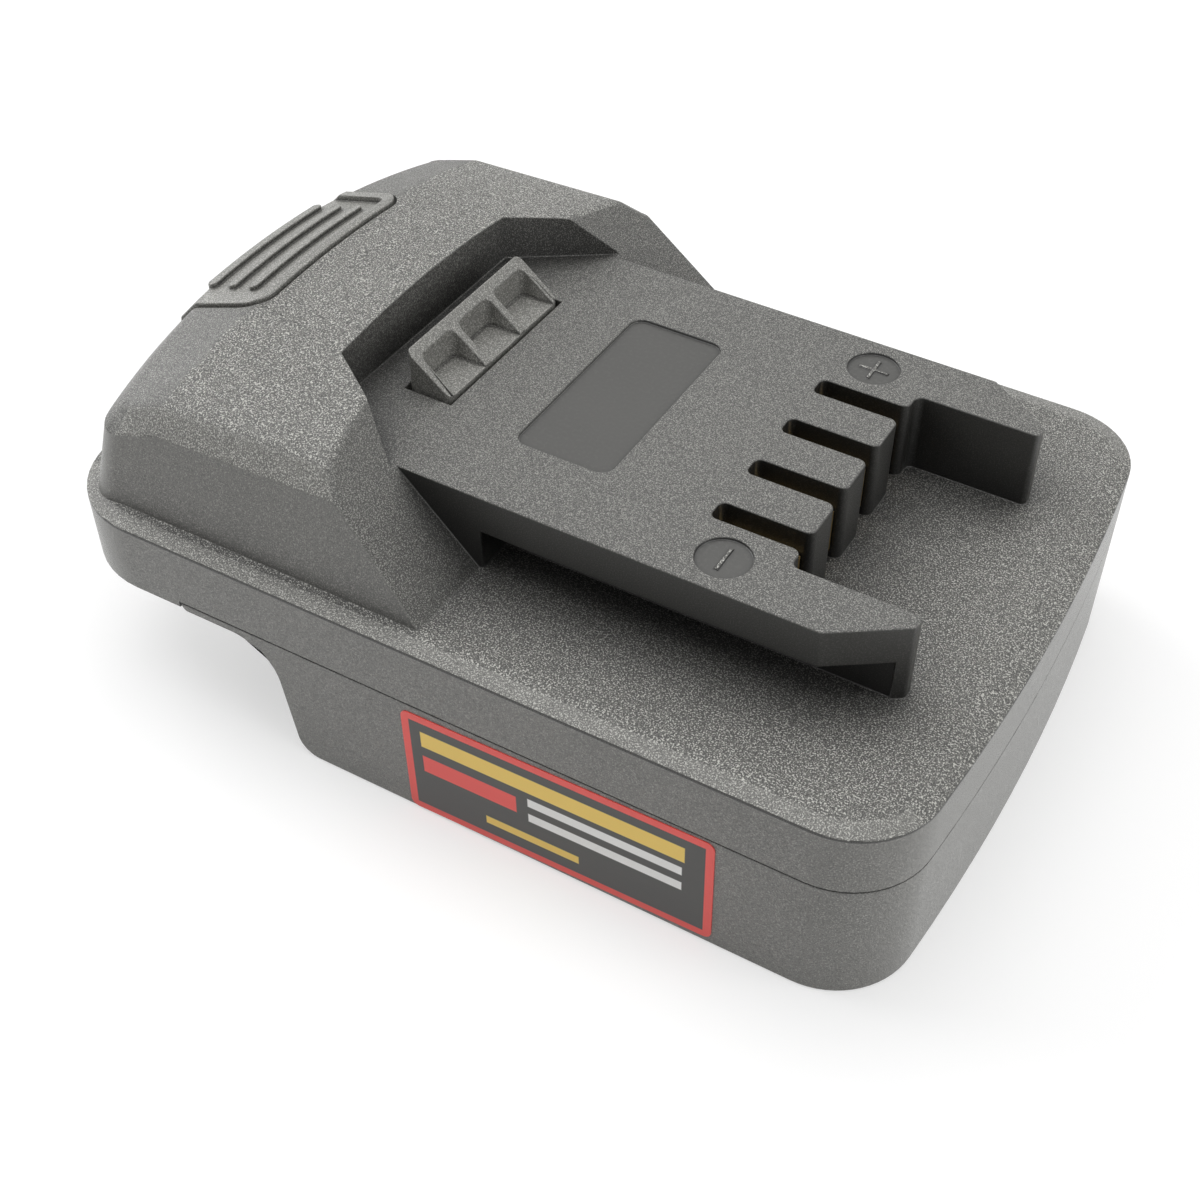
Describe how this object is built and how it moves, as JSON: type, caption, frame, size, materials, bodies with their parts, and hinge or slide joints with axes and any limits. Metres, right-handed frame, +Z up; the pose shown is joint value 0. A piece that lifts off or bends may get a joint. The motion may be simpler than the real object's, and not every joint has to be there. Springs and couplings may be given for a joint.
{
  "type": "tool battery adapter",
  "caption": "Slide-on battery adapter for cordless tools: tool rails, terminal slots and a sprung release latch on top, a dock with blade contacts for another pack underneath.",
  "frame": {"origin": "middle of the bounding box at the underside", "axes": "+X along the rails to the terminal end, -X to the release button, -Y to the labelled side, +Z up"},
  "size_m": [0.1116, 0.0771, 0.0432],
  "materials": {
    "housing_plastic": "spark-eroded grain on top, satin side walls",
    "latch_plastic": "satin, fine grain",
    "inner_plastic": "satin",
    "contact_brass": "rolled, lightly tarnished",
    "screw_steel": "zinc plated",
    "spring_steel": "drawn wire",
    "red_wire": "satin insulation",
    "black_wire": "satin insulation",
    "yellow_wire": "satin insulation",
    "white_wire": "satin insulation",
    "label_film": "printed film, red border, dark field, plain bars"
  },
  "bodies": {
    "housing": {"upper_housing": "housing_plastic", "lower_housing": "housing_plastic", "latch_spring_left": "spring_steel", "latch_spring_right": "spring_steel", "clip_carrier": "inner_plastic", "positive_tool_clip": "contact_brass", "signal_tool_clip_left": "contact_brass", "signal_tool_clip_right": "contact_brass", "negative_tool_clip": "contact_brass", "blade_block": "inner_plastic", "positive_battery_blade": "contact_brass", "signal_battery_blade_left": "contact_brass", "signal_battery_blade_right": "contact_brass", "negative_battery_blade": "contact_brass", "positive_wire": "red_wire", "negative_wire": "black_wire", "signal_wire_left": "yellow_wire", "signal_wire_right": "white_wire", "front_screws": "screw_steel", "rear_screws": "screw_steel", "clip_carrier_screws": "screw_steel", "blade_block_screws": "screw_steel", "side_label": "label_film"},
    "latch": {"release_latch": "latch_plastic"}
  },
  "joints": [
    {"name": "latch_press", "type": "slide", "parent": "housing", "child": "latch", "axis": [0, 0, -1], "range_m": [0, 0.005], "stiffness_N_per_m": 600, "springref_m": -0.006, "deforming": ["latch_spring_left", "latch_spring_right"]}
  ]
}
